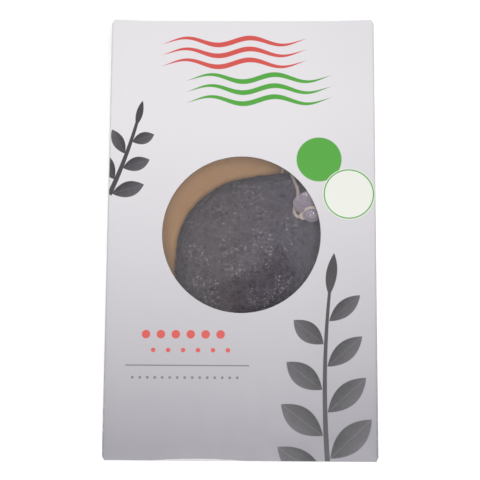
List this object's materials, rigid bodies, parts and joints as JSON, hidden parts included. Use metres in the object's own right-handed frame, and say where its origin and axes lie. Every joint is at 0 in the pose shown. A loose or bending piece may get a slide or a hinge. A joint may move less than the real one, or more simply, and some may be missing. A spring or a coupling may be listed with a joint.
{
  "type": "boxed konjac sponge",
  "caption": "Folding tuck-end carton with a round film window, holding a charcoal konjac sponge with a hanging cord and a clear suction cup; the lids open.",
  "frame": {"origin": "middle of the carton's back face, on the surface that it lies on", "axes": "+X to the right of the front, +Y to the carton's top end, +Z out of the front"},
  "size_m": [0.095, 0.158, 0.036],
  "materials": {
    "printed_board": "satin",
    "carton_board": "satin",
    "window_film": "gloss",
    "sponge": "matte",
    "clear_cup": "gloss",
    "cord": "matte"
  },
  "bodies": {
    "carton": {"front_panel": "printed_board", "back_panel": "carton_board", "left_side_panel": "carton_board", "right_side_panel": "carton_board", "glue_flap": "carton_board", "window_film": "window_film"},
    "top_lid": {"top_lid": "carton_board"},
    "top_tuck": {"top_tuck_flap": "carton_board"},
    "top_left_dust": {"top_left_dust_flap": "carton_board"},
    "top_right_dust": {"top_right_dust_flap": "carton_board"},
    "bottom_lid": {"bottom_lid": "carton_board"},
    "bottom_tuck": {"bottom_tuck_flap": "carton_board"},
    "bottom_left_dust": {"bottom_left_dust_flap": "carton_board"},
    "bottom_right_dust": {"bottom_right_dust_flap": "carton_board"},
    "sponge": {"sponge": "sponge", "suction_cup": "clear_cup", "cord_noose": "cord", "hanging_cord": "cord"}
  },
  "joints": [
    {"name": "top_lid_hinge", "type": "hinge", "parent": "carton", "child": "top_lid", "pos_m": [0, 0.07863, 0.00037], "axis": [-1, 0, 0], "range_deg": [0, 90]},
    {"name": "top_tuck_fold", "type": "hinge", "parent": "top_lid", "child": "top_tuck", "pos_m": [0, 0.07863, 0.03438], "axis": [1, 0, 0], "range_deg": [0, 45]},
    {"name": "top_left_dust_fold", "type": "hinge", "parent": "carton", "child": "top_left_dust", "pos_m": [-0.04713, 0.07798, 0.018], "axis": [0, 0, 1], "range_deg": [0, 45]},
    {"name": "top_right_dust_fold", "type": "hinge", "parent": "carton", "child": "top_right_dust", "pos_m": [0.04713, 0.07798, 0.018], "axis": [0, 0, -1], "range_deg": [0, 45]},
    {"name": "bottom_lid_hinge", "type": "hinge", "parent": "carton", "child": "bottom_lid", "pos_m": [0, -0.07863, 0.00037], "axis": [1, 0, 0], "range_deg": [0, 90]},
    {"name": "bottom_tuck_fold", "type": "hinge", "parent": "bottom_lid", "child": "bottom_tuck", "pos_m": [0, -0.07863, 0.03438], "axis": [-1, 0, 0], "range_deg": [0, 45]},
    {"name": "bottom_left_dust_fold", "type": "hinge", "parent": "carton", "child": "bottom_left_dust", "pos_m": [-0.04713, -0.07798, 0.018], "axis": [0, 0, -1], "range_deg": [0, 45]},
    {"name": "bottom_right_dust_fold", "type": "hinge", "parent": "carton", "child": "bottom_right_dust", "pos_m": [0.04713, -0.07798, 0.018], "axis": [0, 0, 1], "range_deg": [0, 45]},
    {"name": "sponge_slide", "type": "slide", "parent": "carton", "child": "sponge", "axis": [0, 1, 0], "range_m": [-0.035, 0.012]}
  ],
  "couplings": [
    {"joint": "top_tuck_fold", "follows": "top_lid_hinge", "ratio": 0.5},
    {"joint": "top_left_dust_fold", "follows": "top_lid_hinge", "ratio": 0.5},
    {"joint": "top_right_dust_fold", "follows": "top_lid_hinge", "ratio": 0.5},
    {"joint": "bottom_tuck_fold", "follows": "bottom_lid_hinge", "ratio": 0.5},
    {"joint": "bottom_left_dust_fold", "follows": "bottom_lid_hinge", "ratio": 0.5},
    {"joint": "bottom_right_dust_fold", "follows": "bottom_lid_hinge", "ratio": 0.5}
  ]
}
